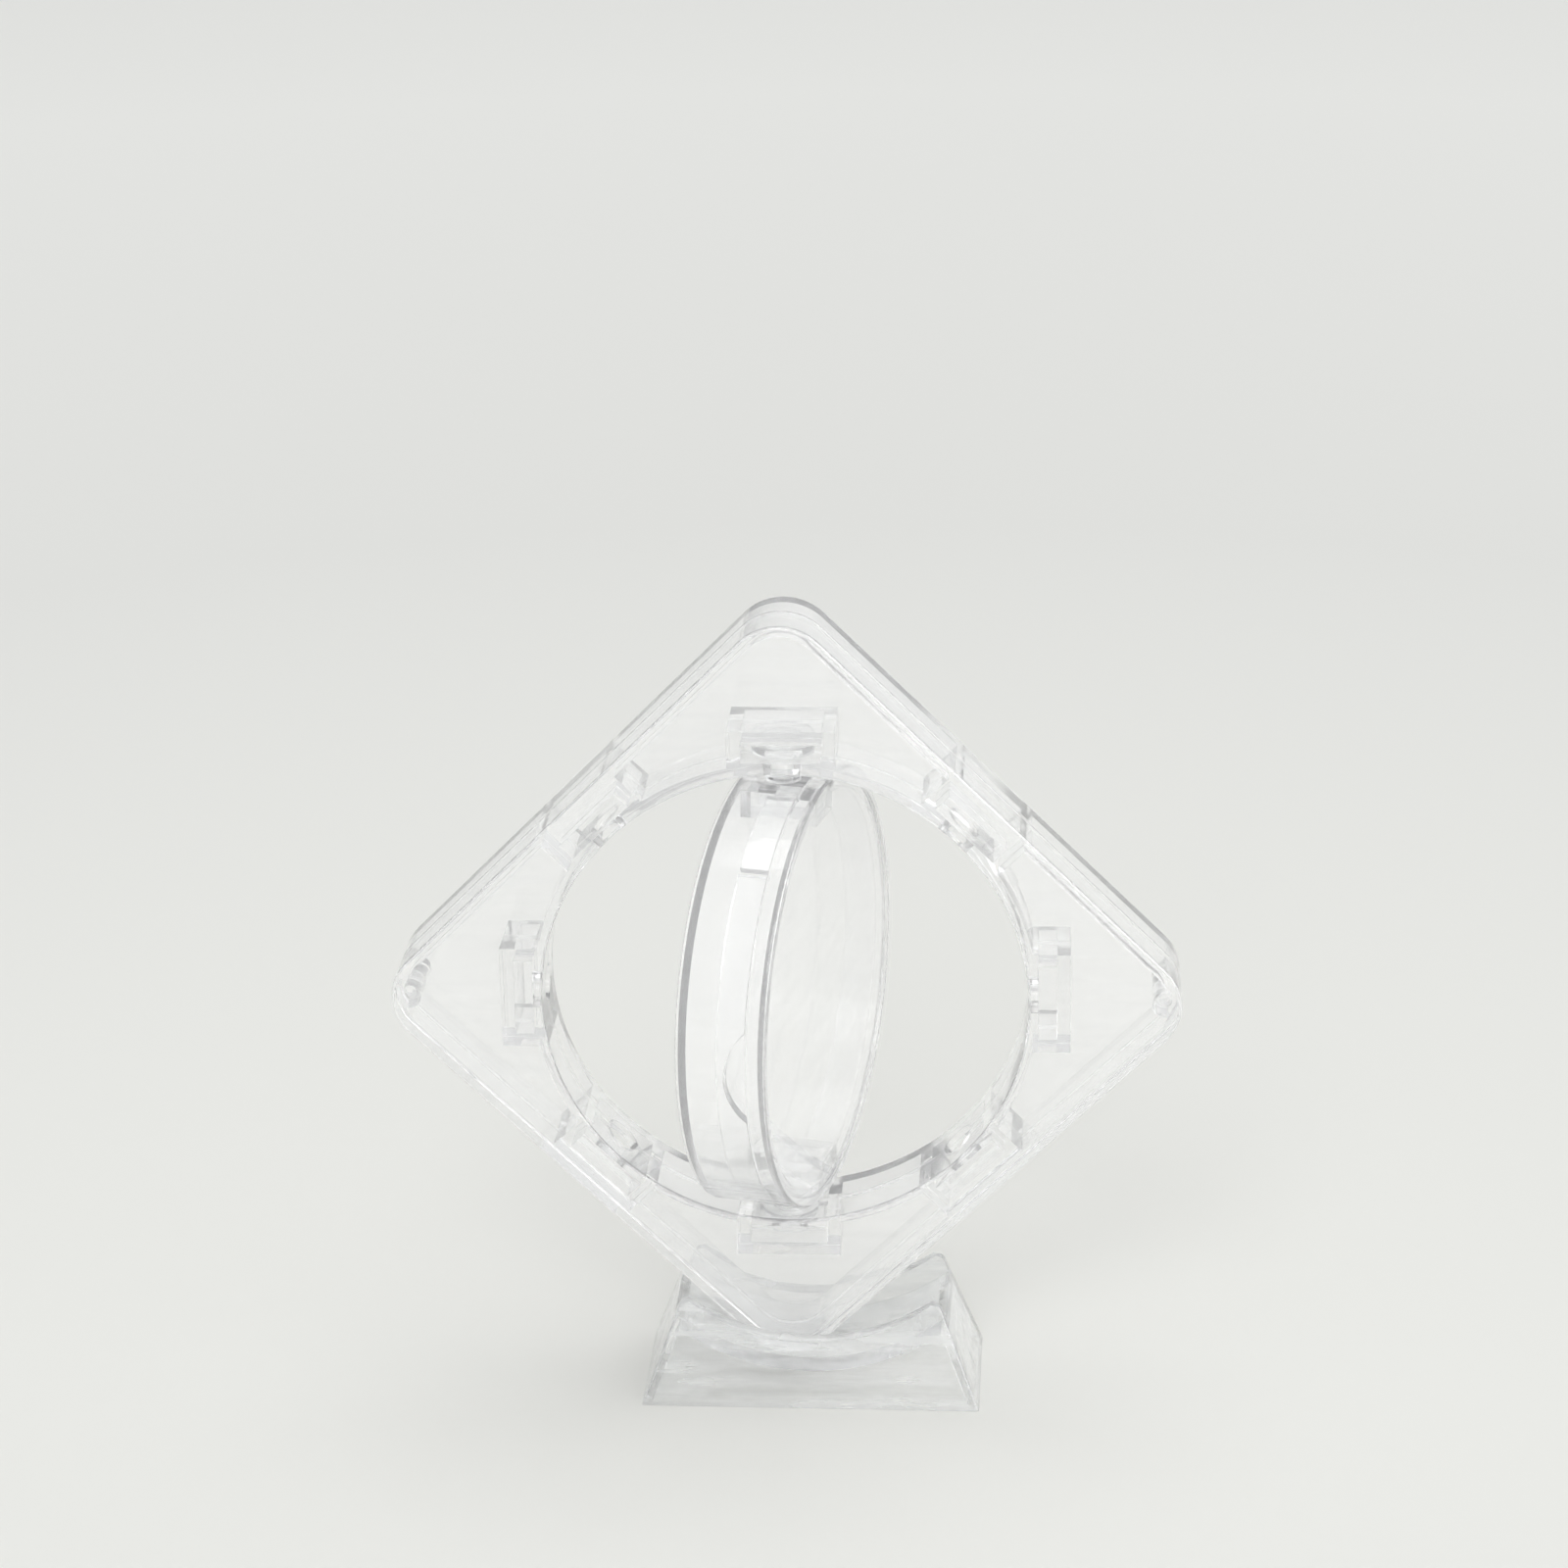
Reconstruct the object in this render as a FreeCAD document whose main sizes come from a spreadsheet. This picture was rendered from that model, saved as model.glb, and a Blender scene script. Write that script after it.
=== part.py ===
import FreeCAD, Part
import math
import os
import Sketcher

# A clear moulded display stand. A square frame of two half shells stands on one corner in a
# concave base. A round capsule, a cup with a push-on lid, hangs in the frame's round hole on two
# pivot pins and spins about the vertical. Eight seats round the hole take the pins' flanges.
#
# Model frame: origin on the floor under the frame's centre, X to the right along the frame,
# Y to the back through the frame's thickness, Z up.

Vector = FreeCAD.Vector
Rotation = FreeCAD.Rotation
Placement = FreeCAD.Placement

X_AXIS = Vector(1, 0, 0)
Y_AXIS = Vector(0, 1, 0)
Z_AXIS = Vector(0, 0, 1)

# Driving dimensions in millimetres (angles in degrees).
SIZES = {
    # frame
    "frame_side": 90.0,
    "corner_round": 8.4,
    "shell_depth": 7.25,
    "frame_seam": 0.06,
    "plate_thickness": 1.6,
    "rim_wall": 1.8,
    "hole_radius": 37.0,
    "collar_wall": 1.5,
    "seat_half_width": 8.05,
    "seat_low": 37.5,
    "seat_high": 43.4,
    "seat_wall": 2.0,
    "shank_bore": 2.95,
    "boss_distance": 57.7,
    "boss_radius": 1.9,
    "peg_radius": 1.0,
    "peg_reach": 2.0,
    "peg_clearance": 0.05,
    "socket_slack": 0.6,
    "edge_round": 0.5,
    "seam_round": 0.25,
    # capsule
    "capsule_radius": 33.8,
    "capsule_turn": 76.6,
    "cup_face": 6.95,
    "lid_face": 6.85,
    "lid_seam_height": 3.84,
    "lid_seam": 0.1,
    "skirt_drop": 0.96,
    "skirt_radius": 32.22,
    "skirt_wall": 1.2,
    "capsule_wall": 1.5,
    "face_thickness": 1.5,
    "face_ring": 1.6,
    "face_recess": 0.3,
    "block_half_width": 4.2,
    "block_low": 28.2,
    "cup_block_high": 32.9,
    "lid_block_high": 31.9,
    "block_gap": 0.05,
    "head_clearance": 0.1,
    "notch_chord": 14.5,
    "notch_depth": 3.3,
    "notch_angle": 181.2,
    "slit_width": 1.0,
    "slit_angle": 126.4,
    "slit_reach": 0.6,
    # pivot pins, measured outwards from the capsule's centre
    "head_half_width": 2.9,
    "head_low": 30.2,
    "neck_low": 31.8,
    "shank_low": 34.0,
    "flange_low": 38.6,
    "flange_high": 40.2,
    "neck_radius": 1.5,
    "neck_clearance": 0.08,
    "shank_radius": 2.85,
    "flange_radius": 4.75,
    "pin_round": 0.25,
    # base
    "base_offset": 3.3,
    "base_length": 53.2,
    "base_top_length": 40.6,
    "base_depth": 24.6,
    "base_top_depth": 18.0,
    "base_height": 17.0,
    "base_end_wall": 1.6,
    "base_side_wall": 1.55,
    "base_roof": 1.5,
    "cradle_radius": 31.4,
    "cradle_low": 10.6,
    "channel_radius": 34.6,
    "channel_low": 7.0,
    "channel_width": 15.0,
    "rest_gap": 0.2,
    "ridge_round": 1.6,
    "base_edge_round": 0.5,
}

SEATS = 8
BOSSES = 2
PIVOTS = 2
UNTURNED = 270  # where a cylinder on the XZ plane points before it is turned, in degrees

HALF_SHELL = "(sizes.shell_depth - sizes.frame_seam / 2)"
BOSS_OFFSET = "(sizes.boss_distance * sqrt(0.5))"
# Where the frame's centre stands: its lowest rounded corner rests in the channel's arc, and the
# base's middle is base_offset to the right of that corner.
CENTRE_HEIGHT = (
    "sizes.channel_low + sizes.channel_radius"
    " - sqrt((sizes.channel_radius - sizes.corner_round - sizes.rest_gap) ^ 2"
    " - sizes.base_offset ^ 2)"
    " + (sizes.frame_side / 2 - sizes.corner_round) * sqrt(2)"
)
SKETCH_START = 10.0
TOUCH = 1e-4


def make_sheet(doc):
    """The spreadsheet that drives every size."""
    sheet = doc.addObject("Spreadsheet::Sheet", "sizes")
    for row, (alias, value) in enumerate(SIZES.items(), start=1):
        sheet.set(f"A{row}", alias)
        sheet.set(f"B{row}", str(value))
        sheet.setAlias(f"B{row}", alias)
    doc.recompute()
    return sheet


def bind(thing, **expressions):
    """Tie properties to the sheet; a double underscore stands for a dot."""
    for name, expression in expressions.items():
        thing.setExpression(name.replace("__", "."), expression)


# ---------------------------------------------------------------- PartDesign helpers

def origin_feature(body, role):
    return [item for item in body.Origin.OriginFeatures if item.Role == role][0]


def attach(item, body, role, x="0", y="0", height="0"):
    """Attach to one of the body's own planes, shifted by expressions in that plane's axes."""
    item.AttachmentSupport = [(origin_feature(body, role), "")]
    item.MapMode = "FlatFace"
    bind(item, AttachmentOffset__Base__x=x, AttachmentOffset__Base__y=y,
         AttachmentOffset__Base__z=height)


def turn_attached(item, axis, angle, base=Vector(0, 0, 0)):
    """Give an attached primitive a turned offset, worked out from the sheet's numbers."""
    for axis_name in ("x", "y", "z"):
        item.setExpression(f"AttachmentOffset.Base.{axis_name}", None)
    item.AttachmentOffset = Placement(base, Rotation(axis, angle))


def name_last(sketch, name, expression):
    """Name the sketch's last constraint and tie it to an expression."""
    sketch.renameConstraint(sketch.ConstraintCount - 1, name)
    sketch.setExpression(f"Constraints.{name}", expression)


def circle_sketch(body, name, radius, height="0"):
    """A circle about the body's Z axis on a plane at the given height."""
    sketch = body.newObject("Sketcher::SketchObject", name)
    attach(sketch, body, "XY_Plane", height=height)
    sketch.addGeometry(Part.Circle(Vector(0, 0, 0), Z_AXIS, SKETCH_START), False)
    sketch.addConstraint(Sketcher.Constraint("Coincident", 0, 3, -1, 1))
    sketch.addConstraint(Sketcher.Constraint("Radius", 0, SKETCH_START))
    name_last(sketch, "radius", radius)
    return sketch


def four_lines(sketch, low, high, half_width):
    """Four joined lines, level and upright, from low to high and evenly about the Y axis."""
    corners = [Vector(-half_width, low, 0), Vector(half_width, low, 0),
               Vector(half_width, high, 0), Vector(-half_width, high, 0)]
    for index, corner in enumerate(corners):
        sketch.addGeometry(Part.LineSegment(corner, corners[(index + 1) % 4]), False)
    for index in range(4):
        sketch.addConstraint(Sketcher.Constraint("Coincident", index, 2, (index + 1) % 4, 1))
        direction = "Horizontal" if index % 2 == 0 else "Vertical"
        sketch.addConstraint(Sketcher.Constraint(direction, index))


def square_sketch(body, name, side, height="0"):
    """A square about the body's Z axis on a plane at the given height."""
    sketch = body.newObject("Sketcher::SketchObject", name)
    attach(sketch, body, "XY_Plane", height=height)
    four_lines(sketch, -SKETCH_START, SKETCH_START, SKETCH_START)
    sketch.addConstraint(Sketcher.Constraint("Symmetric", 0, 1, 1, 2, -1, 1))
    sketch.addConstraint(Sketcher.Constraint("DistanceX", 0, 1, 0, 2, 2 * SKETCH_START))
    name_last(sketch, "width", side)
    sketch.addConstraint(Sketcher.Constraint("DistanceY", 1, 1, 1, 2, 2 * SKETCH_START))
    name_last(sketch, "rise", side)
    return sketch


def box_sketch(body, name, half_width, low, high, height="0"):
    """A rectangle even about the Y axis, between two distances out along Y."""
    sketch = body.newObject("Sketcher::SketchObject", name)
    attach(sketch, body, "XY_Plane", height=height)
    four_lines(sketch, SKETCH_START, 2 * SKETCH_START, SKETCH_START)
    sketch.addConstraint(Sketcher.Constraint("DistanceX", 0, 1, -1, 1, SKETCH_START))
    name_last(sketch, "left", half_width)
    sketch.addConstraint(Sketcher.Constraint("DistanceX", -1, 1, 0, 2, SKETCH_START))
    name_last(sketch, "right", half_width)
    sketch.addConstraint(Sketcher.Constraint("DistanceY", -1, 1, 0, 1, SKETCH_START))
    name_last(sketch, "low", low)
    sketch.addConstraint(Sketcher.Constraint("DistanceY", -1, 1, 2, 1, 2 * SKETCH_START))
    name_last(sketch, "high", high)
    return sketch


def pad(body, name, sketch, length):
    feature = body.newObject("PartDesign::Pad", name)
    feature.Profile = sketch
    bind(feature, Length=length)
    return feature


def pocket_up(body, name, sketch, length=None):
    """Cut upwards (+Z) from the sketch's plane, by a length or right through."""
    feature = body.newObject("PartDesign::Pocket", name)
    feature.Profile = sketch
    feature.Reversed = True
    if length is None:
        feature.Type = "ThroughAll"
    else:
        bind(feature, Length=length)
    return feature


def cylinder(body, kind, name, radius, length, role="XY_Plane", x="0", y="0", height="0"):
    """An additive or subtractive cylinder that stands on one of the body's planes."""
    feature = body.newObject(f"PartDesign::{kind}Cylinder", name)
    attach(feature, body, role, x=x, y=y, height=height)
    bind(feature, Radius=radius, Height=length)
    return feature


def block(body, kind, name, half_width, low, high, bottom, top):
    """An additive or subtractive box, even about the Y axis, given by where its sides are."""
    feature = body.newObject(f"PartDesign::{kind}Box", name)
    attach(feature, body, "XY_Plane", x=f"-({half_width})", y=low, height=bottom)
    bind(feature, Length=f"2 * ({half_width})", Width=f"({high}) - ({low})",
         Height=f"({top}) - ({bottom})")
    return feature


def ring_of(body, name, originals, count):
    """Repeat features round the body's Z axis."""
    pattern = body.newObject("PartDesign::PolarPattern", name)
    pattern.Originals = originals
    pattern.Axis = (origin_feature(body, "Z_Axis"), [""])
    pattern.Angle = 360
    pattern.Occurrences = count
    body.Tip = pattern
    return pattern


def round_edges(body, name, base, radius, wanted):
    """Fillet the edges of a feature that the test picks out."""
    body.Document.recompute()
    edges = [f"Edge{number}" for number, edge in enumerate(base.Shape.Edges, start=1)
             if wanted(edge)]
    feature = body.newObject("PartDesign::Fillet", name)
    feature.Base = (base, edges)
    bind(feature, Radius=radius)
    return feature


def upright_edge_at(offset):
    """Test for a vertical edge whose X and Y are both this far from the axis."""
    def wanted(edge):
        box = edge.BoundBox
        return (box.XLength < TOUCH and box.YLength < TOUCH
                and abs(abs(box.XMin) - offset) < TOUCH and abs(abs(box.YMin) - offset) < TOUCH)
    return wanted


def level_edge_at(height, nearest, farthest):
    """Test for an edge lying at a height, all of it between two distances from the Z axis."""
    def wanted(edge):
        box = edge.BoundBox
        if box.ZLength > TOUCH or abs(box.ZMin - height) > TOUCH:
            return False
        distances = [math.hypot(point.x, point.y) for point in edge.discretize(5)]
        return min(distances) > nearest and max(distances) < farthest
    return wanted


def outline_edge_at(height, half_side):
    """Picks the edges of a square's outline at that height."""
    def picked(edge):
        box = edge.BoundBox
        reach = max(box.XMax, -box.XMin, box.YMax, -box.YMin)
        return (abs(box.ZMin - height) < TOUCH and abs(box.ZMax - height) < TOUCH
                and abs(reach - half_side) < TOUCH)
    return picked


# ---------------------------------------------------------------- the frame's two shells

def frame_shell(doc, sheet, label):
    """Half of the frame: plate, outer wall, collar round the hole, eight pin seats and a
    boss in each of two opposite corners. Its outer face is at local Z = 0 and its open side faces local +Z."""
    body = doc.addObject("PartDesign::Body", label)
    pad(body, "slab", square_sketch(body, "slab_outline", "sizes.frame_side"), HALF_SHELL)
    half_side = sheet.frame_side / 2
    tray = pocket_up(body, "tray", square_sketch(
        body, "tray_outline", "sizes.frame_side - 2 * sizes.rim_wall", "sizes.plate_thickness"))
    inner = round_edges(body, "inner_corners", tray, "sizes.corner_round - sizes.rim_wall",
                        upright_edge_at(half_side - sheet.rim_wall))
    round_edges(body, "outer_corners", inner, "sizes.corner_round", upright_edge_at(half_side))
    pad(body, "collar", circle_sketch(
        body, "collar_outline", "sizes.hole_radius + sizes.collar_wall"), HALF_SHELL)
    seat = pad(body, "seat", box_sketch(
        body, "seat_outline", "sizes.seat_half_width", "sizes.seat_low", "sizes.seat_high"),
        HALF_SHELL)
    ring_of(body, "seats", [seat], SEATS)
    boss = cylinder(body, "Additive", "boss", "sizes.boss_radius", HALF_SHELL,
                    x=BOSS_OFFSET, y="-" + BOSS_OFFSET)
    ring_of(body, "bosses", [boss], BOSSES)
    pocket_up(body, "hole", circle_sketch(body, "hole_outline", "sizes.hole_radius"))
    cavity = pocket_up(body, "seat_cavity", box_sketch(
        body, "seat_cavity_outline", "sizes.seat_half_width - sizes.seat_wall",
        "sizes.hole_radius + sizes.collar_wall", "sizes.seat_high - sizes.seat_wall",
        "sizes.plate_thickness"))
    ring_of(body, "seat_cavities", [cavity], SEATS)
    bore = cylinder(body, "Subtractive", "shank_bore", "sizes.shank_bore",
                    "sizes.hole_radius + 2 * sizes.collar_wall", role="XZ_Plane",
                    y="sizes.shell_depth")
    return body, ring_of(body, "shank_bores", [bore], SEATS)


def round_shell_edges(body, base, sheet):
    """Break the outer face's edges, the square outline and the hole, and the outline's other
    edge, where the two shells meet."""
    past_corner = sheet.frame_side
    inside_hole = sheet.hole_radius - sheet.collar_wall
    faced = round_edges(body, "face_edges", base, "sizes.edge_round",
                        level_edge_at(0, inside_hole, past_corner))
    round_edges(body, "seam_edges", faced, "sizes.seam_round",
                outline_edge_at(sheet.shell_depth - sheet.frame_seam / 2, sheet.frame_side / 2))


def frame_front_shell(doc, sheet):
    """The front shell has a blind socket in each boss."""
    body, last = frame_shell(doc, sheet, "frame_front_shell")
    socket = cylinder(body, "Subtractive", "socket", "sizes.peg_radius + sizes.peg_clearance",
                      "2 * sizes.peg_reach", x=BOSS_OFFSET, y="-" + BOSS_OFFSET,
                      height="sizes.shell_depth - sizes.peg_reach - sizes.socket_slack")
    last = ring_of(body, "sockets", [socket], BOSSES)
    round_shell_edges(body, last, sheet)
    return body


def frame_rear_shell(doc, sheet):
    """The rear shell has a peg on each boss, which plugs into the front shell."""
    body, last = frame_shell(doc, sheet, "frame_rear_shell")
    peg = cylinder(body, "Additive", "peg", "sizes.peg_radius",
                   "sizes.shell_depth + sizes.peg_reach", x=BOSS_OFFSET, y="-" + BOSS_OFFSET)
    last = ring_of(body, "pegs", [peg], BOSSES)
    round_shell_edges(body, last, sheet)
    return body


# ---------------------------------------------------------------- the capsule
# In the capsule's own frame Z is its axis, towards the lid, and Y points at the upper pivot.

def pivot_pockets(body, top, neck_top=None):
    """The pockets that hold the pins' square heads, and in the cup the slots for their necks."""
    half = "sizes.head_half_width + sizes.head_clearance"
    bottom = "-(sizes.head_half_width + sizes.block_gap)" if neck_top else "-sizes.skirt_drop"
    head = block(body, "Subtractive", "head_pocket", half,
                 "sizes.head_low - sizes.head_clearance", "sizes.neck_low + sizes.head_clearance",
                 bottom, top)
    ring_of(body, "head_pockets", [head], PIVOTS)
    if neck_top:
        radius = "sizes.neck_radius + sizes.neck_clearance"
        slot = block(body, "Subtractive", "neck_slot", radius, "sizes.neck_low",
                     "sizes.shank_low", "0", neck_top)
        ring_of(body, "neck_slots", [slot], PIVOTS)
        bore = cylinder(body, "Subtractive", "neck_bore", radius,
                        "sizes.shank_low - sizes.neck_low", role="XZ_Plane",
                        height="sizes.neck_low")
        ring_of(body, "neck_bores", [bore], PIVOTS)


def capsule_cup(doc, sheet):
    """The deep half: face, rim wall with a half-moon pry notch, and two pivot blocks."""
    body = doc.addObject("PartDesign::Body", "capsule_cup")
    pad(body, "drum", circle_sketch(body, "drum_outline", "sizes.capsule_radius",
                                    "-sizes.cup_face"),
        "sizes.cup_face + sizes.lid_seam_height - sizes.lid_seam / 2")
    pocket_up(body, "bowl", circle_sketch(
        body, "bowl_outline", "sizes.capsule_radius - sizes.capsule_wall",
        "-sizes.cup_face + sizes.face_thickness"))
    pivot = block(body, "Additive", "pivot_block", "sizes.block_half_width", "sizes.block_low",
                  "sizes.cup_block_high", "-sizes.cup_face + sizes.face_recess",
                  "-sizes.block_gap")
    ring_of(body, "pivot_blocks", [pivot], PIVOTS)
    pivot_pockets(body, "0", "sizes.lid_seam_height")
    # Half-moon pry notch: a radial cylinder whose centre lies beyond the rim's edge.
    half_chord = sheet.notch_chord / 2
    notch_radius = (half_chord ** 2 + sheet.notch_depth ** 2) / (2 * sheet.notch_depth)
    notch_centre = sheet.lid_seam_height + notch_radius - sheet.notch_depth
    notch = body.newObject("PartDesign::SubtractiveCylinder", "pry_notch")
    attach(notch, body, "XZ_Plane")
    bind(notch, Height="sizes.capsule_radius + sizes.capsule_wall",
         Radius="(sizes.notch_chord ^ 2 / 4 + sizes.notch_depth ^ 2) / (2 * sizes.notch_depth)")
    turn_attached(notch, Y_AXIS, sheet.notch_angle - UNTURNED, Vector(0, notch_centre, 0))
    window = circle_sketch(body, "window_outline", "sizes.capsule_radius - sizes.face_ring",
                           "-sizes.cup_face")
    last = pocket_up(body, "window", window, "sizes.face_recess")
    round_edges(body, "face_edge", last, "sizes.edge_round",
                level_edge_at(-sheet.cup_face, sheet.capsule_radius - sheet.edge_round,
                              sheet.capsule_radius + sheet.edge_round))
    return body


def capsule_lid(doc, sheet):
    """The shallow half: face, a skirt that plugs into the cup, split once, and two blocks that
    close the pin heads' pockets."""
    body = doc.addObject("PartDesign::Body", "capsule_lid")
    pad(body, "disc", circle_sketch(body, "disc_outline", "sizes.capsule_radius",
                                    "sizes.lid_seam_height + sizes.lid_seam / 2"),
        "sizes.lid_face - sizes.lid_seam_height - sizes.lid_seam / 2")
    pad(body, "skirt", circle_sketch(body, "skirt_outline", "sizes.skirt_radius",
                                     "-sizes.skirt_drop"),
        "sizes.skirt_drop + sizes.lid_face - sizes.face_recess")
    pocket_up(body, "bowl", circle_sketch(
        body, "bowl_outline", "sizes.skirt_radius - sizes.skirt_wall", "-sizes.skirt_drop"),
        "sizes.skirt_drop + sizes.lid_face - sizes.face_thickness")
    gap = block(body, "Subtractive", "skirt_gap", "sizes.block_half_width + sizes.skirt_wall / 2",
                "sizes.block_low", "sizes.capsule_radius", "-sizes.skirt_drop",
                "sizes.lid_seam_height + sizes.lid_seam / 2")
    ring_of(body, "skirt_gaps", [gap], PIVOTS)
    slit = body.newObject("PartDesign::SubtractiveBox", "slit")
    attach(slit, body, "XY_Plane")
    bind(slit, Length="sizes.skirt_wall + 2 * sizes.slit_reach", Width="sizes.slit_width",
         Height="sizes.skirt_drop + sizes.lid_seam_height")
    slit_turn = Rotation(Z_AXIS, sheet.slit_angle)
    slit_start = Vector(sheet.skirt_radius - sheet.skirt_wall - sheet.slit_reach,
                        -sheet.slit_width / 2, -sheet.skirt_drop)
    turn_attached(slit, Z_AXIS, sheet.slit_angle, slit_turn.multVec(slit_start))
    pivot = block(body, "Additive", "pivot_block", "sizes.block_half_width", "sizes.block_low",
                  "sizes.lid_block_high", "sizes.block_gap",
                  "sizes.lid_face - sizes.face_recess")
    ring_of(body, "pivot_blocks", [pivot], PIVOTS)
    pivot_pockets(body, "sizes.head_half_width + sizes.block_gap")
    window = circle_sketch(body, "window_outline", "sizes.capsule_radius - sizes.face_ring",
                           "sizes.lid_face - sizes.face_recess")
    last = pocket_up(body, "window", window)
    round_edges(body, "face_edge", last, "sizes.edge_round",
                level_edge_at(sheet.lid_face, sheet.capsule_radius - sheet.edge_round,
                              sheet.capsule_radius + sheet.edge_round))
    return body


def pivot_pin(doc, sheet, label):
    """A pin along local Z: square head in the capsule, neck, shank in the frame's bore, and a
    round flange in the frame's seat."""
    body = doc.addObject("PartDesign::Body", label)
    block(body, "Additive", "head", "sizes.head_half_width", "-sizes.head_half_width",
          "sizes.head_half_width", "sizes.head_low", "sizes.neck_low")
    for name, radius, low, high in (
            ("neck", "sizes.neck_radius", "sizes.head_low", "sizes.shank_low"),
            ("shank", "sizes.shank_radius", "sizes.shank_low", "sizes.flange_high"),
            ("flange", "sizes.flange_radius", "sizes.flange_low", "sizes.flange_high")):
        last = pad(body, name, circle_sketch(body, f"{name}_outline", radius, low),
                   f"{high} - {low}")
    rim = sheet.flange_radius
    for name, height in (("flange_top", sheet.flange_high), ("flange_under", sheet.flange_low)):
        last = round_edges(body, name, last, "sizes.pin_round",
                           level_edge_at(height, rim - sheet.pin_round, rim + sheet.pin_round))
    return body


# ---------------------------------------------------------------- the base

def upright_wedge(doc, name, inset_x, inset_y):
    """A four-sided block whose sides lean in towards the top, inset all round."""
    wedge = doc.addObject("Part::Wedge", name)
    for prop, size, inset in (
            ("X{}", "base_length", inset_x), ("X2{}", "base_top_length", inset_x),
            ("Z{}", "base_depth", inset_y), ("Z2{}", "base_top_depth", inset_y)):
        half = f"(sizes.{size} / 2 - {inset})"
        bind(wedge, **{prop.format("min"): f"-{half}", prop.format("max"): half})
    wedge.Ymin = 0
    bind(wedge, Ymax="sizes.base_height")
    wedge.Placement = Placement(Vector(0, 0, 0), Rotation(X_AXIS, 90))
    bind(wedge, Placement__Base__x="sizes.base_offset")
    return wedge


def cross_cylinder(doc, name, radius, centre_height):
    """A cylinder along Y through the whole base, for a concave cut."""
    tool = doc.addObject("Part::Cylinder", name)
    tool.Placement = Placement(Vector(0, 0, 0), Rotation(X_AXIS, 90))
    bind(tool, Radius=radius, Height="2 * sizes.base_depth",
         Placement__Base__x="sizes.base_offset", Placement__Base__y="sizes.base_depth",
         Placement__Base__z=centre_height)
    return tool


def joined(doc, kind, name, base, tool):
    """A boolean of two objects: Cut or Common."""
    result = doc.addObject(f"Part::{kind}", name)
    result.Base = base
    result.Tool = tool
    return result


def fillet_edges(doc, name, base, sheet, radius_alias, wanted):
    """Round the edges that the test picks out; the radius is read from the sheet."""
    doc.recompute()
    radius = getattr(sheet, radius_alias)
    result = doc.addObject("Part::Fillet", name)
    result.Base = base
    result.Edges = [(number, radius, radius)
                    for number, edge in enumerate(base.Shape.Edges, start=1) if wanted(edge)]
    return result


def stand_base(doc, sheet):
    """The base: leaning walls, a concave top with two ridges and a channel between them for
    the frame's corner, hollow underneath and open at the bottom."""
    channel_centre = "sizes.channel_low + sizes.channel_radius"
    cradled = joined(doc, "Cut", "base_cradled",
                     upright_wedge(doc, "base_blank", "0", "0"),
                     cross_cylinder(doc, "cradle_arc", "sizes.cradle_radius",
                                    "sizes.cradle_low + sizes.cradle_radius"))
    slot = doc.addObject("Part::Box", "channel_slot")
    bind(slot, Length="2 * sizes.base_length", Width="sizes.channel_width",
         Height="2 * sizes.channel_radius", Placement__Base__x="-sizes.base_length",
         Placement__Base__y="-sizes.channel_width / 2")
    channel = joined(doc, "Common", "channel",
                     cross_cylinder(doc, "channel_arc", "sizes.channel_radius", channel_centre),
                     slot)
    grooved = joined(doc, "Cut", "base_grooved", cradled, channel)
    end = sheet.base_top_length / 2

    def ridge_corner(edge):
        box = edge.BoundBox
        return (box.XLength < TOUCH and box.ZLength < TOUCH
                and abs(abs(box.XMin - sheet.base_offset) - end) < TOUCH)

    def wall_corner(edge):
        box = edge.BoundBox
        return box.ZMin < TOUCH and box.ZLength > sheet.channel_low

    ridged = fillet_edges(doc, "base_ridged", grooved, sheet, "ridge_round", ridge_corner)
    rounded = fillet_edges(doc, "base_rounded", ridged, sheet, "base_edge_round", wall_corner)
    hollow = joined(doc, "Cut", "base_hollow",
                    upright_wedge(doc, "hollow_blank", "sizes.base_end_wall",
                                  "sizes.base_side_wall"),
                    cross_cylinder(doc, "hollow_roof", "sizes.channel_radius + sizes.base_roof",
                                   channel_centre))
    return joined(doc, "Cut", "stand_base", rounded, hollow)


# ---------------------------------------------------------------- assembly

def place(item, rotation, y="0"):
    """Put a sub-part at the frame's centre height, turned, and shifted along Y."""
    item.Placement = Placement(Vector(0, 0, 0), rotation)
    bind(item, Placement__Base__y=y, Placement__Base__z=CENTRE_HEIGHT)


def build(doc):
    """Make every sub-part in its place and return them."""
    sheet = make_sheet(doc)
    diamond = Rotation(Z_AXIS, 45)
    capsule_turn = Rotation(Z_AXIS, sheet.capsule_turn)
    front = frame_front_shell(doc, sheet)
    place(front, Rotation(X_AXIS, -90).multiply(diamond), "-sizes.shell_depth")
    rear = frame_rear_shell(doc, sheet)
    place(rear, Rotation(X_AXIS, 90).multiply(diamond), "sizes.shell_depth")
    cup = capsule_cup(doc, sheet)
    lid = capsule_lid(doc, sheet)
    for half in (cup, lid):
        place(half, capsule_turn.multiply(Rotation(X_AXIS, 90)))
    upper = pivot_pin(doc, sheet, "upper_pivot_pin")
    place(upper, capsule_turn)
    lower = pivot_pin(doc, sheet, "lower_pivot_pin")
    place(lower, capsule_turn.multiply(Rotation(X_AXIS, 180)))
    return [stand_base(doc, sheet), front, rear, cup, lid, upper, lower]


def check(doc, parts):
    """Stop if any object failed to compute or any sub-part isn't one sound solid."""
    for item in doc.Objects:
        if {"Invalid", "Error"} & set(item.State):
            raise RuntimeError(f"{item.Label} failed: {item.State}")
    for item in parts:
        shape = item.Shape
        if shape.isNull() or not shape.isValid() or len(shape.Solids) != 1:
            raise RuntimeError(f"{item.Label} is not one valid solid")


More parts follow.
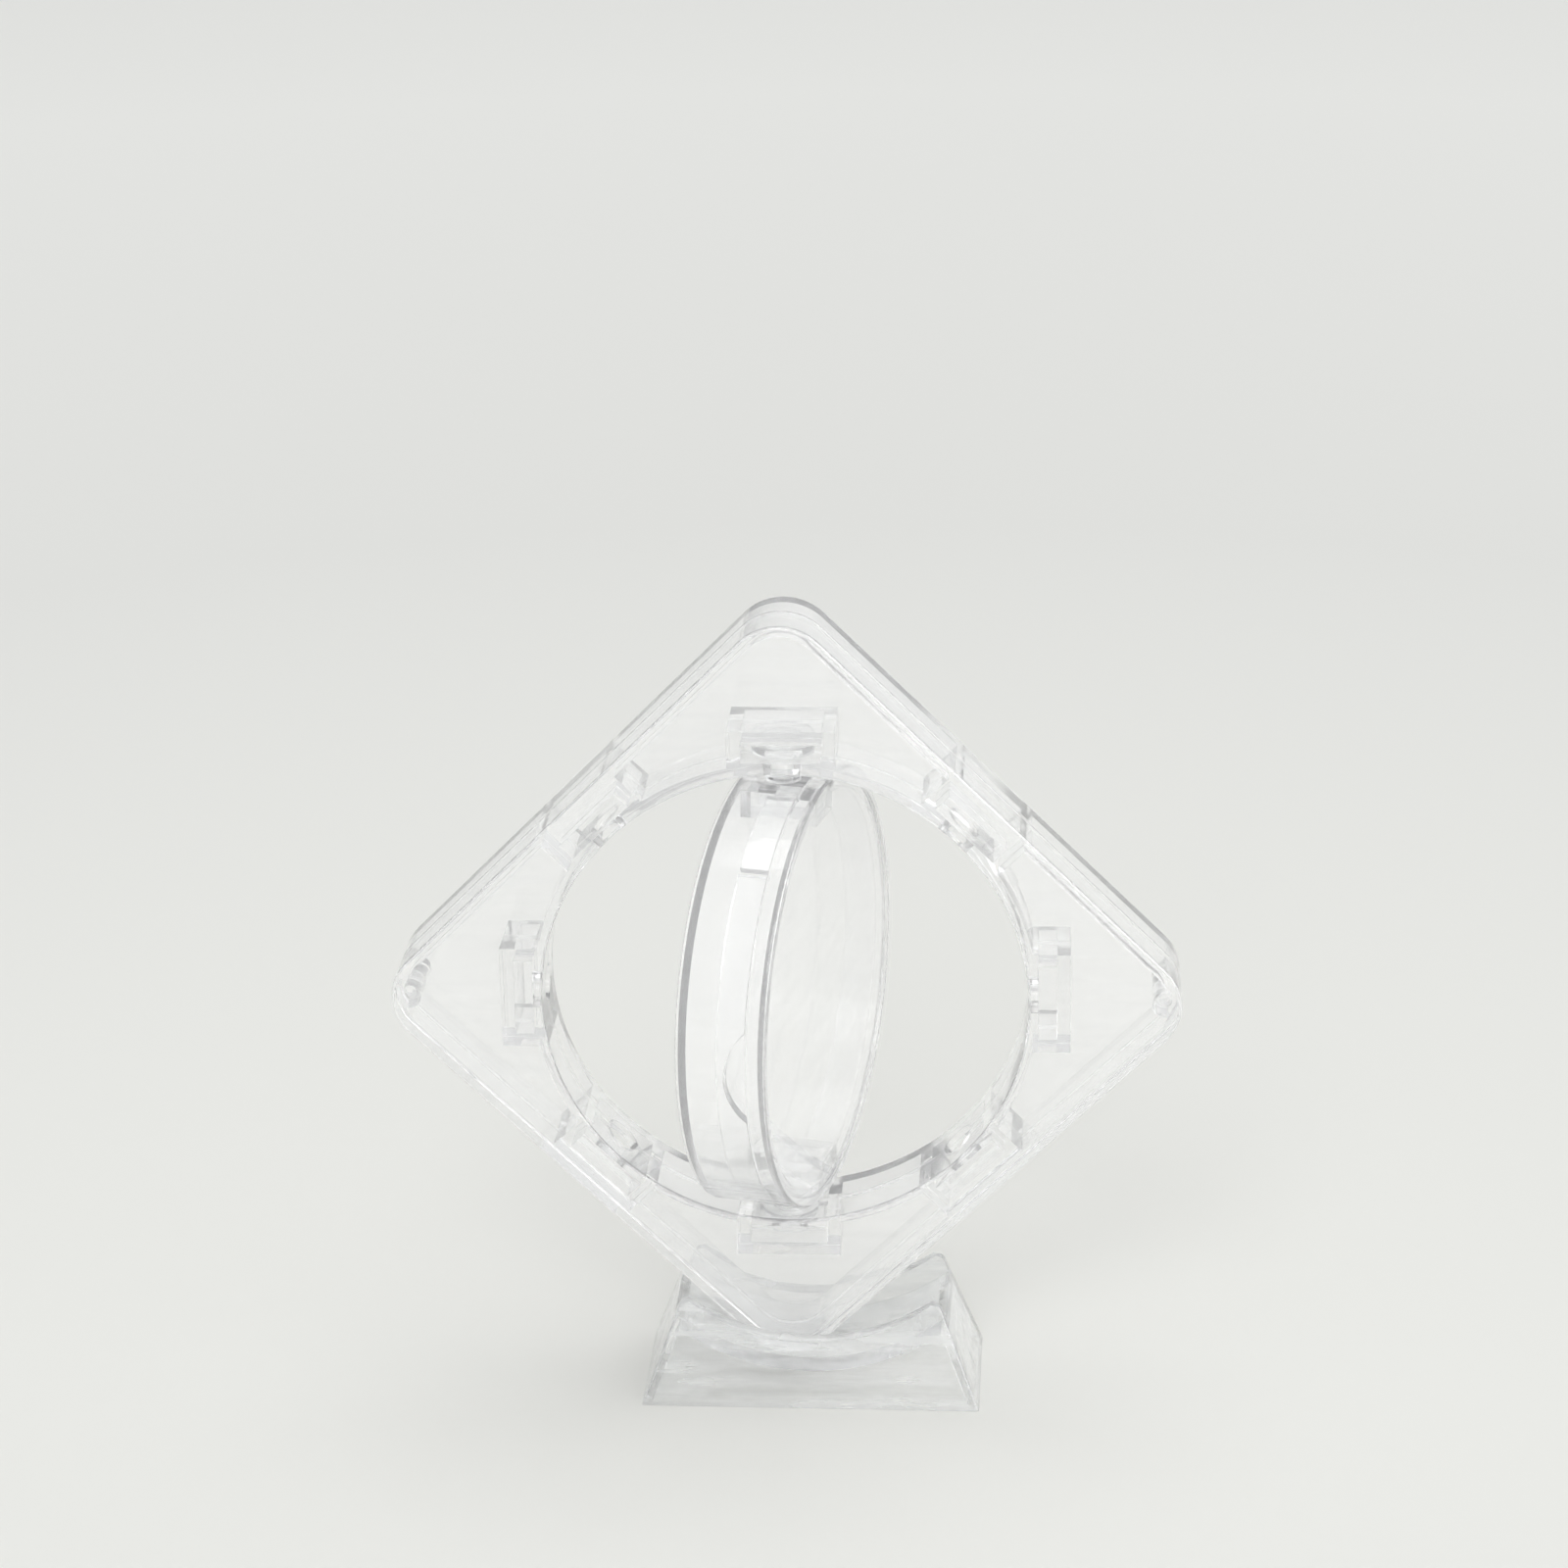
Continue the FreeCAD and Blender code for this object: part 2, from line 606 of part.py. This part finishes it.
document = FreeCAD.newDocument("display_stand")
pieces = build(document)
document.recompute()
check(document, pieces)
os.makedirs("parts", exist_ok=True)
for piece in pieces:
    piece.Shape.exportStep(os.path.join("parts", f"{piece.Label}.step"))
    bounds = piece.Shape.BoundBox
    print(f"{piece.Label}: {piece.Shape.Volume:.0f} mm3, Z {bounds.ZMin:.2f} to {bounds.ZMax:.2f}")
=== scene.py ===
"""The turntable display stand in its real finish: seven clear moulded pieces on a pale floor."""
import math

import bpy
import numpy as np
from mathutils import Matrix, Vector


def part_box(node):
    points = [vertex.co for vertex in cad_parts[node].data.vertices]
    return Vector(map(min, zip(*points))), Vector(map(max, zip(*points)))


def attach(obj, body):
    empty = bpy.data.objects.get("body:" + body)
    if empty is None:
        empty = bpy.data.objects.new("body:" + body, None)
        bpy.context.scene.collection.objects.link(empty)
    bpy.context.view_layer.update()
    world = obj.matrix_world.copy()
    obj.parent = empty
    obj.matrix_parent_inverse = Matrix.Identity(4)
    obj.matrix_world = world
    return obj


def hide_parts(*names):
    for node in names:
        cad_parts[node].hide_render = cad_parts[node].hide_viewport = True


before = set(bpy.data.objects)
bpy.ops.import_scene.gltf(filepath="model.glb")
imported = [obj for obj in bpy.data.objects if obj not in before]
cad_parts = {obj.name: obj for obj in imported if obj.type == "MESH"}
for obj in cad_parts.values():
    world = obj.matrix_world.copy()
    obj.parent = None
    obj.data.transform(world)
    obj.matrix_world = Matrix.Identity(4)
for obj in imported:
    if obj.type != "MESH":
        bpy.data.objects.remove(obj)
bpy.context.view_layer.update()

MM = 0.001

# Each CAD node, the piece that stands for it and the body that carries it.
PIECES = {
    "stand_base": ("clear_base", "base"),
    "frame_front_shell": ("clear_front_shell", "frame"),
    "frame_rear_shell": ("clear_rear_shell", "frame"),
    "capsule_cup": ("clear_capsule_cup", "capsule"),
    "capsule_lid": ("clear_capsule_lid", "lid"),
    "upper_pivot_pin": ("clear_upper_pin", "capsule"),
    "lower_pivot_pin": ("clear_lower_pin", "capsule"),
}
MERGE = 0.0005 * MM        # corners nearer than this are one corner
CREASE = math.radians(50)  # a turn sharper than this stays a hard edge
EDGE_MM = 0.18             # how round the moulded edges look

# Camera: where it stands, seen from the frame's centre.
CAMERA_DISTANCE = 620.7 * MM
CAMERA_PITCH = math.radians(23.95)
CAMERA_YAW = math.radians(-4.18)
CAMERA_ROLL = math.radians(1.01)
CAMERA_LENS = 92.88
CAMERA_SENSOR = 36.0
CAMERA_SHIFT = (-0.0021, 0.1277)
CAMERA_CLIP = (0.01, 20)

# Floor: a round sheet that curves up a little at its rim. Lengths in metres.
FLOOR_FLAT = 2.4
FLOOR_RISE = 0.15
FLOOR_RINGS = 96
FLOOR_SPOKES = 128
# Floor tones by distance out, in metres: painted shade and light, lighter near the middle, darker
# out to 0.45 m and lighter again towards the rim, where the lamps' light falls off.
FLOOR_PAINTED_TONES = ((0.10, "#e9e9e5"), (0.45, "#e4e4e1"), (1.0, "#f2f2ef"))  # by distance out
FLOOR_GRAIN_MM = 1.5         # spacing of the roller's texture
FLOOR_GRAIN_DEPTH_MM = 0.05

# Light: the room's brightness away from and towards its light side.
LIGHT_SIDE = (0.80, -0.35, 0.35)
ROOM_DIM = 0.38
ROOM_BRIGHT = 1.04
ROOM_GLOW = "#fdfefe"
WALL_TONE = "#e2e2df"
MAX_BOUNCES = 64   # light crosses dozens of faces on its way through the nested clear walls
GLOSSY_BOUNCES = 8
BRIGHT_CLAMP = 4   # keeps single bright sparks out of the picture

# Each lamp: name, place, width, watts, and whether it lights matt surfaces such as the floor.
# With that off, the lamp only shows as a gloss.
SOFT_BOXES = (
    ("overhead_soft_box", (0.06, 0.20, 1.2), 0.7, 1.8, True),
    ("front_soft_box", (-0.20, -1.50, 1.40), 0.9, 8.5, True),
    ("right_gloss", (1.22, -0.51, 0.77), 1.6, 22.0, False),
)

# The plastic of each material slot. tint colours what is seen through it, and lamp_tint is how
# much of a lamp's light each surface lets by. haze and streak are how milky it is and how much
# that varies. glow is painted light: a faint glow that the faces give off, though they are no
# lamp. flow_mm and flow_depth_mm are the spacing and depth of the waves of the melt. scuff is
# how much duller the rubbed patches are.
PLASTICS = {
    "base_clear": dict(name="crystal_polystyrene_base", tint="#fcfdfd", lamp_tint="#8c8c8c",
                       haze=0.16, streak=0.13, glow=0.022, flow_mm=7.0, flow_depth_mm=0.10,
                       scuff=0.05),
    "frame_clear": dict(name="crystal_polystyrene_frame", tint="#ffffff", lamp_tint="#d0d0d0",
                        haze=0.09, streak=0.02, glow=0.010, flow_mm=12.0, flow_depth_mm=0.015,
                        scuff=0.05),
    "capsule_clear": dict(name="crystal_polystyrene_capsule", tint="#ffffff",
                          lamp_tint="#e2e2e2", haze=0.10, streak=0.02, glow=0.012, flow_mm=14.0,
                          flow_depth_mm=0.02, scuff=0.04),
    "pin_clear": dict(name="crystal_polystyrene_pin", tint="#fcfdfd", lamp_tint="#989898",
                      haze=0.08, streak=0.02, glow=0.020, flow_mm=3.0, flow_depth_mm=0.02,
                      scuff=0.06),
}
POLISH = 0.02         # roughness of the mould's polish
POLYSTYRENE_IOR = 1.59
# the colour of the painted glow that the plastic's faces give off, though they are no lamp
PAINTED_GLOW_COLOUR = "#fafbff"
RUB_MM = 4.0          # size of a rubbed patch
DRIFT_MM = 15.0       # length of a cloudier drift in the melt
STREAK_MM = 2.0       # height of a milky streak
STREAK_LENGTH = 10    # how many times longer than high it is


# ---------------------------------------------------------------- shared helpers

def srgb(text):
    """A colour written as sRGB hex, in linear light."""
    parts = np.array([int(text[i:i + 2], 16) for i in (1, 3, 5)]) / 255
    linear = np.where(parts <= 0.04045, parts / 12.92, ((parts + 0.055) / 1.055) ** 2.4)
    return (*linear.tolist(), 1.0)


def add_node(tree, kind, sockets=None, **settings):
    """Add a node: settings are its own properties, and sockets holds values or links by name."""
    made = tree.nodes.new(kind)
    for name, value in settings.items():
        setattr(made, name, value)
    for name, value in (sockets or {}).items():
        if isinstance(value, bpy.types.NodeSocket):
            tree.links.new(value, made.inputs[name])
        else:
            made.inputs[name].default_value = value
    return made


def mesh_object(name, points, faces):
    """A mesh object at the origin from arrays of points and of faces with equal corner counts."""
    mesh = bpy.data.meshes.new(name)
    mesh.vertices.add(len(points))
    mesh.vertices.foreach_set("co", np.ascontiguousarray(points, np.float32).ravel())
    corners = faces.shape[1]
    mesh.loops.add(faces.size)
    mesh.loops.foreach_set("vertex_index", np.ascontiguousarray(faces, np.int32).ravel())
    mesh.polygons.add(len(faces))
    mesh.polygons.foreach_set("loop_start", np.arange(len(faces), dtype=np.int32) * corners)
    mesh.update(calc_edges=True)
    mesh.validate()
    made = bpy.data.objects.new(name, mesh)
    bpy.context.scene.collection.objects.link(made)
    return made


# ---------------------------------------------------------------- the clear pieces

def closed_skin(node, name):
    """The CAD node's triangles as one closed skin: corners that share a place are joined, and
    triangles that shrink to a line are dropped. Shading is smooth up to hard edges."""
    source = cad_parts[node].data
    points = np.empty(len(source.vertices) * 3, np.float32)
    source.vertices.foreach_get("co", points)
    points = points.reshape(-1, 3).astype(float)
    corners = np.empty(len(source.loops), np.int32)
    source.loops.foreach_get("vertex_index", corners)
    _, first, joined = np.unique(np.round(points / MERGE).astype(np.int64), axis=0,
                                 return_index=True, return_inverse=True)
    faces = joined.ravel()[corners].reshape(-1, 3)
    whole = ((faces[:, 0] != faces[:, 1]) & (faces[:, 1] != faces[:, 2])
             & (faces[:, 2] != faces[:, 0]))
    piece = mesh_object(name, points[first], faces[whole])
    piece.data.shade_smooth()
    piece.data.set_sharp_from_angle(angle=CREASE)
    even = piece.modifiers.new("even_normals", "WEIGHTED_NORMAL")
    even.keep_sharp = True
    return piece


def clear_polystyrene(name, tint, lamp_tint, haze, streak, glow, flow_mm, flow_depth_mm, scuff):
    """Injection-moulded crystal polystyrene: it bends light strongly, mirrors the soft lamps on
    its faces, shows slow waves where the melt flowed, and is slightly milky. PLASTICS says what
    each number is."""
    material = bpy.data.materials.new(name)
    material.use_nodes = True
    tree = material.node_tree
    tree.nodes.clear()
    place = add_node(tree, "ShaderNodeTexCoord").outputs["Object"]
    # Waves of the melt, one every flow_mm, drawn out along the piece.
    waves = add_node(tree, "ShaderNodeTexNoise", {
        "Vector": place, "Scale": 1 / (flow_mm * MM), "Detail": 2.0, "Roughness": 0.45})
    edges = add_node(tree, "ShaderNodeBevel", {"Radius": EDGE_MM * MM}, samples=4)
    bump = add_node(tree, "ShaderNodeBump", {
        "Height": waves.outputs["Fac"], "Strength": 1.0, "Distance": flow_depth_mm * MM,
        "Normal": edges.outputs["Normal"]})
    # Rubbed patches a few millimetres wide, a little duller than the moulded gloss.
    rubbed = add_node(tree, "ShaderNodeTexNoise", {
        "Vector": place, "Scale": 1 / (RUB_MM * MM), "Detail": 4.0, "Roughness": 0.6})
    gloss = add_node(tree, "ShaderNodeMapRange", {
        "Value": rubbed.outputs["Fac"], "From Min": 0.35, "From Max": 0.75,
        "To Min": POLISH, "To Max": POLISH + scuff})
    # The melt has a touch more of its tint in long drifts.
    drift = add_node(tree, "ShaderNodeTexNoise", {
        "Vector": place, "Scale": 1 / (DRIFT_MM * MM), "Detail": 1.0})
    shade = add_node(tree, "ShaderNodeMixRGB", {
        "Fac": drift.outputs["Fac"], "Color1": srgb(tint), "Color2": srgb("#ffffff")})
    # Milky streaks that lie level.
    level = add_node(tree, "ShaderNodeMapping", {
        "Vector": place, "Scale": (1 / STREAK_LENGTH, 1 / STREAK_LENGTH, 1.0)})
    streaks = add_node(tree, "ShaderNodeTexNoise", {
        "Vector": level.outputs["Vector"], "Scale": 1 / (STREAK_MM * MM), "Detail": 3.0})
    clear = add_node(tree, "ShaderNodeMapRange", {
        "Value": streaks.outputs["Fac"], "From Min": 0.35, "From Max": 0.65,
        "To Min": 1 - haze + streak, "To Max": 1 - haze - streak})
    plastic = add_node(tree, "ShaderNodeBsdfPrincipled", {
        "Base Color": shade.outputs["Color"], "Roughness": gloss.outputs["Result"],
        "IOR": POLYSTYRENE_IOR, "Transmission Weight": clear.outputs["Result"],
        "Normal": bump.outputs["Normal"],
        # Painted light: the faces glow by themselves, cool and very faint, though they are no
        # lamp.
        "Emission Color": srgb(PAINTED_GLOW_COLOUR), "Emission Strength": glow})
    # Lamps also shine straight through the walls, dimmed by lamp_tint at each surface. This is
    # on top of the light that bends through, so lamp_tint is darker than the real plastic.
    open_way = add_node(tree, "ShaderNodeBsdfTransparent", {"Color": srgb(lamp_tint)})
    path = add_node(tree, "ShaderNodeLightPath")
    both = add_node(tree, "ShaderNodeMixShader", {
        "Fac": path.outputs["Is Shadow Ray"], 1: plastic.outputs["BSDF"],
        2: open_way.outputs["BSDF"]})
    add_node(tree, "ShaderNodeOutputMaterial", {"Surface": both.outputs["Shader"]})
    return material


FINISHES = {slot: clear_polystyrene(**plastic) for slot, plastic in PLASTICS.items()}

for node, (name, body) in PIECES.items():
    piece = closed_skin(node, name)
    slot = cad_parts[node].data.materials[0].name
    piece.data.materials.append(FINISHES[slot])
    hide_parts(node)
    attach(piece, body)


# ---------------------------------------------------------------- floor, light and camera

def pale_floor():
    """A round sheet: flat to FLOOR_FLAT from the middle, then its height is the arc of a circle
    of radius FLOOR_RISE. The rings are close together in the middle and wide at the rim."""
    share = np.linspace(0, 1, FLOOR_RINGS)
    run = (FLOOR_FLAT + FLOOR_RISE * math.pi / 2) * share ** 2
    over = np.clip((run - FLOOR_FLAT) / FLOOR_RISE, 0, None)
    radius = np.minimum(run, FLOOR_FLAT) + FLOOR_RISE * np.sin(over)
    height = FLOOR_RISE * (1 - np.cos(over))
    turn = np.linspace(0, 2 * math.pi, FLOOR_SPOKES, endpoint=False)
    ring = radius[1:, None]
    grid = np.stack([ring * np.cos(turn), ring * np.sin(turn),
                     np.broadcast_to(height[1:, None], (FLOOR_RINGS - 1, FLOOR_SPOKES))], -1)
    points = np.vstack([grid.reshape(-1, 3), [[0, 0, 0]]])
    r, s = np.meshgrid(np.arange(FLOOR_RINGS - 2), np.arange(FLOOR_SPOKES), indexing="ij")
    after = (s + 1) % FLOOR_SPOKES
    low, high = r * FLOOR_SPOKES, (r + 1) * FLOOR_SPOKES
    quads = np.stack([low + s, high + s, high + after, low + after], -1).reshape(-1, 4)
    sides = np.vstack([quads[:, [0, 1, 2]], quads[:, [0, 2, 3]]])
    spokes = np.arange(FLOOR_SPOKES)
    middle = np.stack([np.full(FLOOR_SPOKES, len(points) - 1), spokes,
                       (spokes + 1) % FLOOR_SPOKES], -1)
    floor = mesh_object("pale_floor", points, np.vstack([sides, middle]))
    floor.data.shade_smooth()
    floor.data.materials.append(painted_board())


def painted_board():
    """Matt painted board: pale grey-white with a faint roller texture and hardly any glare. Its
    tone shifts slowly with the distance from the middle: painted shade and light, darker out to
    0.45 m and lighter again towards the rim, where the lamps' light falls off."""
    material = bpy.data.materials.new("matt_painted_board")
    material.use_nodes = True
    tree = material.node_tree
    tree.nodes.clear()
    place = add_node(tree, "ShaderNodeTexCoord").outputs["Object"]
    far = add_node(tree, "ShaderNodeVectorMath", {0: place}, operation="LENGTH")
    # Painted shade and light: the board's tone is set by the distance from the middle.
    tone = add_node(tree, "ShaderNodeValToRGB", {"Fac": far.outputs["Value"]})
    stops = tone.color_ramp.elements
    for number, (distance, colour) in enumerate(FLOOR_PAINTED_TONES):
        stop = stops[number] if number < len(stops) else stops.new(distance)
        stop.position, stop.color = distance, srgb(colour)
    grain = add_node(tree, "ShaderNodeTexNoise", {
        "Vector": place, "Scale": 1 / (FLOOR_GRAIN_MM * MM), "Detail": 2.0})
    bump = add_node(tree, "ShaderNodeBump", {
        "Height": grain.outputs["Fac"], "Strength": 0.1,
        "Distance": FLOOR_GRAIN_DEPTH_MM * MM})
    board = add_node(tree, "ShaderNodeBsdfPrincipled", {
        "Base Color": tone.outputs["Color"], "Roughness": 0.6, "Specular IOR Level": 0.1,
        "Normal": bump.outputs["Normal"]})
    add_node(tree, "ShaderNodeOutputMaterial", {"Surface": board.outputs["BSDF"]})
    return material


def soft_box(name, place, width, watts, on_floor):
    """A square area lamp of the given width that faces the frame's centre."""
    lamp = bpy.data.lights.new(name, "AREA")
    lamp.shape = "SQUARE"
    lamp.size = width
    lamp.energy = watts
    made = bpy.data.objects.new(name, lamp)
    made.visible_camera = False
    made.visible_diffuse = on_floor
    facing = (FRAME_CENTRE - Vector(place)).to_track_quat("-Z", "Y").to_matrix().to_4x4()
    made.matrix_world = Matrix.Translation(place) @ facing
    bpy.context.scene.collection.objects.link(made)


def room_light():
    """The room: it brightens evenly towards LIGHT_SIDE, to the right, in front and above. What
    is seen directly past the floor's edge is the plain wall tone."""
    world = bpy.data.worlds.new("soft_room")
    world.use_nodes = True
    tree = world.node_tree
    tree.nodes.clear()
    way = add_node(tree, "ShaderNodeTexCoord").outputs["Generated"]
    towards = add_node(tree, "ShaderNodeVectorMath", {
        0: way, 1: Vector(LIGHT_SIDE).normalized()}, operation="DOT_PRODUCT")
    level = add_node(tree, "ShaderNodeMapRange", {
        "Value": towards.outputs["Value"], "From Min": -1.0, "From Max": 1.0,
        "To Min": ROOM_DIM, "To Max": ROOM_BRIGHT})
    glow = add_node(tree, "ShaderNodeBackground", {
        "Color": srgb(ROOM_GLOW), "Strength": level.outputs["Result"]})
    wall = add_node(tree, "ShaderNodeBackground", {"Color": srgb(WALL_TONE), "Strength": 1.0})
    path = add_node(tree, "ShaderNodeLightPath")
    both = add_node(tree, "ShaderNodeMixShader", {
        "Fac": path.outputs["Is Camera Ray"], 1: glow.outputs["Background"],
        2: wall.outputs["Background"]})
    add_node(tree, "ShaderNodeOutputWorld", {"Surface": both.outputs["Shader"]})
    bpy.context.scene.world = world


def camera_at(centre):
    """The camera: it looks down at CAMERA_PITCH, turned CAMERA_YAW about the upright and rolled
    CAMERA_ROLL about its own axis, with the centre on that axis at CAMERA_DISTANCE."""
    forward = Vector((math.sin(CAMERA_YAW) * math.cos(CAMERA_PITCH),
                      math.cos(CAMERA_YAW) * math.cos(CAMERA_PITCH), -math.sin(CAMERA_PITCH)))
    right = Vector((math.cos(CAMERA_YAW), -math.sin(CAMERA_YAW), 0))
    up = right.cross(forward)
    rolled_right = math.cos(CAMERA_ROLL) * right - math.sin(CAMERA_ROLL) * up
    rolled_up = math.sin(CAMERA_ROLL) * right + math.cos(CAMERA_ROLL) * up
    lens = bpy.data.cameras.new("main_camera")
    lens.lens, lens.sensor_width = CAMERA_LENS, CAMERA_SENSOR
    lens.shift_x, lens.shift_y = CAMERA_SHIFT
    lens.clip_start, lens.clip_end = CAMERA_CLIP
    made = bpy.data.objects.new("main_camera", lens)
    turn = Matrix((rolled_right, rolled_up, -forward)).transposed().to_4x4()
    made.matrix_world = Matrix.Translation(centre - forward * CAMERA_DISTANCE) @ turn
    bpy.context.scene.collection.objects.link(made)
    bpy.context.scene.camera = made


front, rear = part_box("frame_front_shell"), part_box("frame_rear_shell")
FRAME_CENTRE = (Vector(map(min, front[0], rear[0])) + Vector(map(max, front[1], rear[1]))) / 2
pale_floor()
room_light()
for box in SOFT_BOXES:
    soft_box(*box)
camera_at(FRAME_CENTRE)

scene = bpy.context.scene
scene.view_settings.view_transform = "Standard"
scene.cycles.max_bounces = MAX_BOUNCES
scene.cycles.transmission_bounces = MAX_BOUNCES
scene.cycles.transparent_max_bounces = MAX_BOUNCES
scene.cycles.glossy_bounces = GLOSSY_BOUNCES
scene.cycles.sample_clamp_indirect = BRIGHT_CLAMP
